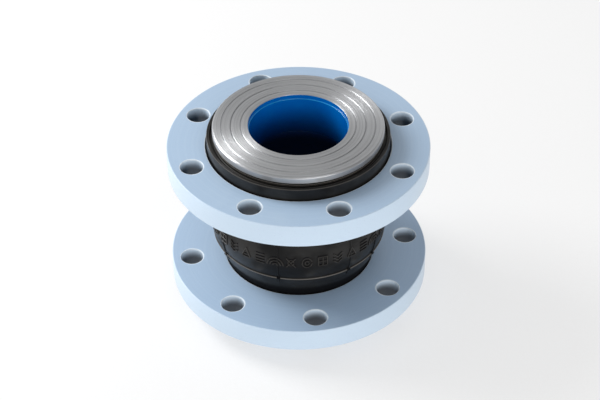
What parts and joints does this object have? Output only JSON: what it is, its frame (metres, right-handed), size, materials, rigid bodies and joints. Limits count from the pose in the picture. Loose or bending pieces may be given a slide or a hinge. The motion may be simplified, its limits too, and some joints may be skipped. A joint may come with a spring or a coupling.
{
  "type": "rubber expansion joint",
  "caption": "Single-arch rubber pipe expansion joint with loose drilled flanges and grooved steel face rings.",
  "frame": {"origin": "centre of the lower sealing face, which is the base the joint stands on", "axes": "+Z along the pipe axis towards the upper end, +X to the right as seen from the front, -Y towards the front"},
  "size_m": [0.254, 0.254, 0.198],
  "materials": {
    "flange_coating": "smooth pale blue-grey coating",
    "stainless": "turned, fine concentric lines",
    "blue_coating": "glossy deep blue coating",
    "cover_rubber": "moulded, satin",
    "inner_rubber": "matte",
    "cord_fabric": "woven nylon cord in rubber",
    "bead_wire": "brass-washed drawn wire",
    "bead_tape": "wound tape"
  },
  "bodies": {
    "lower_end": {"lower_face_ring": "stainless", "lower_throat_sleeve": "blue_coating", "lower_seal_pad": "cover_rubber", "lower_bead_cover": "cover_rubber", "lower_bead_core": "bead_wire", "lower_bead_wrap": "bead_tape", "lower_bead_filler": "inner_rubber"},
    "arch_cover": {"outer_cover": "cover_rubber", "cord_ply_4": "cord_fabric"},
    "arch_ply_outer": {"cord_ply_3": "cord_fabric"},
    "arch_middle": {"middle_rubber": "inner_rubber", "cord_ply_2": "cord_fabric"},
    "arch_tube": {"cord_ply_1": "cord_fabric", "inner_tube": "inner_rubber"},
    "upper_end": {"upper_face_ring": "stainless", "upper_throat_sleeve": "blue_coating", "upper_seal_pad": "cover_rubber", "upper_bead_cover": "cover_rubber", "upper_bead_core": "bead_wire", "upper_bead_wrap": "bead_tape", "upper_bead_filler": "inner_rubber"},
    "lower_flange": {"lower_flange": "flange_coating"},
    "upper_flange": {"upper_flange": "flange_coating"}
  },
  "joints": [
    {"name": "arch_axial", "type": "slide", "parent": "lower_end", "child": "arch_cover", "axis": [0, 0, 1], "range_m": [-0.018, 0.01], "stiffness_N_per_m": 60000, "springref_m": 0.0014, "deforming": ["inner_tube", "cord_ply_1", "cord_ply_2", "middle_rubber", "cord_ply_3", "cord_ply_4", "outer_cover"]},
    {"name": "arch_shift_x", "type": "slide", "parent": "arch_cover", "child": "arch_ply_outer", "axis": [1, 0, 0], "range_m": [-0.014, 0.014], "stiffness_N_per_m": 80000, "deforming": ["inner_tube", "cord_ply_1", "cord_ply_2", "middle_rubber", "cord_ply_3", "cord_ply_4", "outer_cover"]},
    {"name": "arch_shift_y", "type": "slide", "parent": "arch_ply_outer", "child": "arch_middle", "axis": [0, 1, 0], "range_m": [-0.014, 0.014], "stiffness_N_per_m": 80000, "deforming": ["inner_tube", "cord_ply_1", "cord_ply_2", "middle_rubber", "cord_ply_3", "cord_ply_4", "outer_cover"]},
    {"name": "arch_tilt_x", "type": "hinge", "parent": "arch_middle", "child": "arch_tube", "pos_m": [0, 0, 0.099], "axis": [1, 0, 0], "range_deg": [-15, 15], "stiffness_Nm_per_rad": 300, "deforming": ["inner_tube", "cord_ply_1", "cord_ply_2", "middle_rubber", "cord_ply_3", "cord_ply_4", "outer_cover"]},
    {"name": "arch_tilt_y", "type": "hinge", "parent": "arch_tube", "child": "upper_end", "pos_m": [0, 0, 0.099], "axis": [0, 1, 0], "range_deg": [-15, 15], "stiffness_Nm_per_rad": 300, "deforming": ["inner_tube", "cord_ply_1", "cord_ply_2", "middle_rubber", "cord_ply_3", "cord_ply_4", "outer_cover"]},
    {"name": "lower_flange_spin", "type": "hinge", "parent": "lower_end", "child": "lower_flange", "pos_m": [0, 0, 0.0339], "axis": [0, 0, 1], "continuous": true},
    {"name": "upper_flange_spin", "type": "hinge", "parent": "upper_end", "child": "upper_flange", "pos_m": [0, 0, 0.1641], "axis": [0, 0, 1], "continuous": true}
  ]
}
